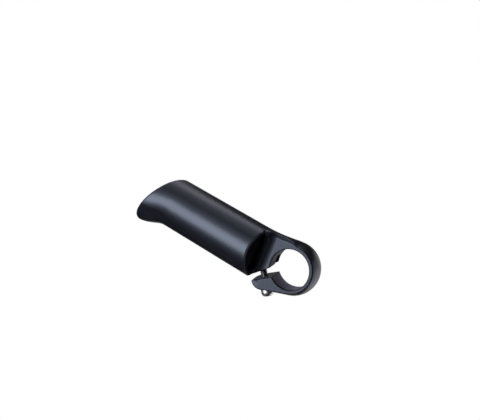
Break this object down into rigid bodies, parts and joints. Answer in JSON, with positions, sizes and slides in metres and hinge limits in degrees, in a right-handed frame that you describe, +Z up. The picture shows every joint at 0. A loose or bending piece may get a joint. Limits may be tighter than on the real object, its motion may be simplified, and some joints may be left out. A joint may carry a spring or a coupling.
{
  "type": "bicycle bar end",
  "caption": "Short hollow bar end with an oval grip, a lipped oblique tip and a split clamp ring closed by a cap screw.",
  "frame": {"origin": "centre of the clamp bore, half way through the ring", "axes": "+X the way the grip points, +Y along the bore to the stepped side where the grip stands proud of the ring, +Z up from the split"},
  "size_m": [0.1101, 0.0341, 0.0366],
  "materials": {
    "black_casting": "satin black anodised casting with a machined clamp bore",
    "bolt_steel": "bright zinc-plated steel screw",
    "washer_steel": "bright zinc-plated steel washer"
  },
  "bodies": {
    "bar_end": {"bar_end_body": "black_casting"},
    "washer": {"bolt_washer": "washer_steel"},
    "bolt": {"clamp_bolt": "bolt_steel"}
  },
  "joints": [
    {"name": "bolt_travel", "type": "slide", "parent": "bar_end", "child": "washer", "axis": [-0.5736, 0, -0.8192], "range_m": [0, 0.0077]},
    {"name": "bolt_turn", "type": "hinge", "parent": "washer", "child": "bolt", "pos_m": [0.008, 0, -0.0192], "axis": [-0.5736, 0, -0.8192], "range_deg": [0, 3960]}
  ],
  "couplings": [
    {"joint": "bolt_turn", "follows": "bolt_travel", "rad_per_m": 8976}
  ]
}
